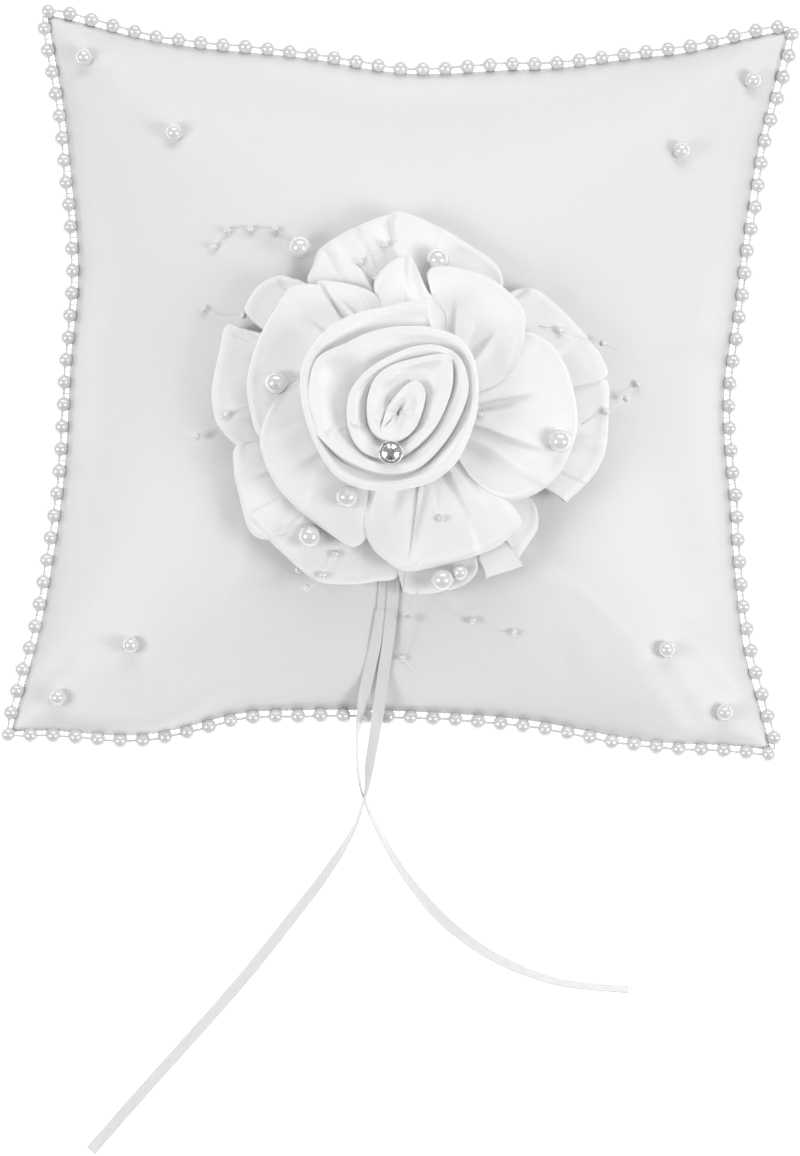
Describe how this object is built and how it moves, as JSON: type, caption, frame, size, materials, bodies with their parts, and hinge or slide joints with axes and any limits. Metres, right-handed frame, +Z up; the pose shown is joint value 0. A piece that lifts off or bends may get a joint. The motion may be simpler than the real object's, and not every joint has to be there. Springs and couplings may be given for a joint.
{
  "type": "ring bearer pillow",
  "caption": "Square white satin ring bearer pillow with a pearl-string edge, a gathered satin rose with pearls, and two narrow ribbon tails that tie the rings.",
  "frame": {"origin": "bottom centre of the pillow's box without the ribbon tails, on the surface it lies on", "axes": "+Z up out of the front face and the rose, -Y towards the edge that the ribbon tails hang over, +X to the right with the tails nearest the viewer"},
  "size_m": [0.1992, 0.3015, 0.0946],
  "materials": {
    "satin": "satin",
    "trim_pearl": "gloss",
    "pearl": "gloss",
    "nylon": "gloss",
    "ribbon": "satin",
    "felt": "matte",
    "fibre": "matte",
    "thread": "matte",
    "crystal": "gloss",
    "silver": "gloss",
    "pin_steel": "satin"
  },
  "bodies": {
    "pillow": {"back_panel": "satin", "bead_spray_back_left": "nylon", "bead_spray_back_middle": "nylon", "bead_spray_front_left": "nylon", "bead_spray_front_middle": "nylon", "bead_spray_front_right": "nylon", "bead_spray_left_lower": "nylon", "bead_spray_left_upper": "nylon", "bead_spray_right_lower": "nylon", "bead_spray_right_upper": "nylon", "bud_core": "satin", "bud_inner_wrap": "satin", "bud_middle_wrap": "satin", "bud_outer_wrap": "satin", "crystal": "crystal", "crystal_cup": "silver", "crystal_pin": "pin_steel", "face_pearl_back_left_inner": "pearl", "face_pearl_back_left_outer": "pearl", "face_pearl_back_right_inner": "pearl", "face_pearl_back_right_outer": "pearl", "face_pearl_front_left_inner": "pearl", "face_pearl_front_left_outer": "pearl", "face_pearl_front_right_inner": "pearl", "face_pearl_front_right_outer": "pearl", "felt_backing": "felt", "fibre_filling": "fibre", "flower_pearl_back_left": "pearl", "flower_pearl_back_right": "pearl", "flower_pearl_front_left_inner": "pearl", "flower_pearl_front_left_outer": "pearl", "flower_pearl_front_middle": "pearl", "flower_pearl_front_small": "pearl", "flower_pearl_left": "pearl", "flower_pearl_right": "pearl", "front_panel": "satin", "lower_ruffle": "satin", "pearl_trim": "trim_pearl", "ribbon_fold": "ribbon", "seam_thread": "thread", "seed_bead_front": "pearl", "seed_bead_right": "pearl", "upper_ruffle": "satin"},
    "ribbon_tails": {"ribbon_tail_left": "ribbon", "ribbon_tail_right": "ribbon"}
  },
  "joints": [
    {"name": "ribbon_lift", "type": "hinge", "parent": "pillow", "child": "ribbon_tails", "pos_m": [-0.0015, -0.0612, 0.0472], "axis": [-1, 0, 0], "range_deg": [0, 75]}
  ]
}
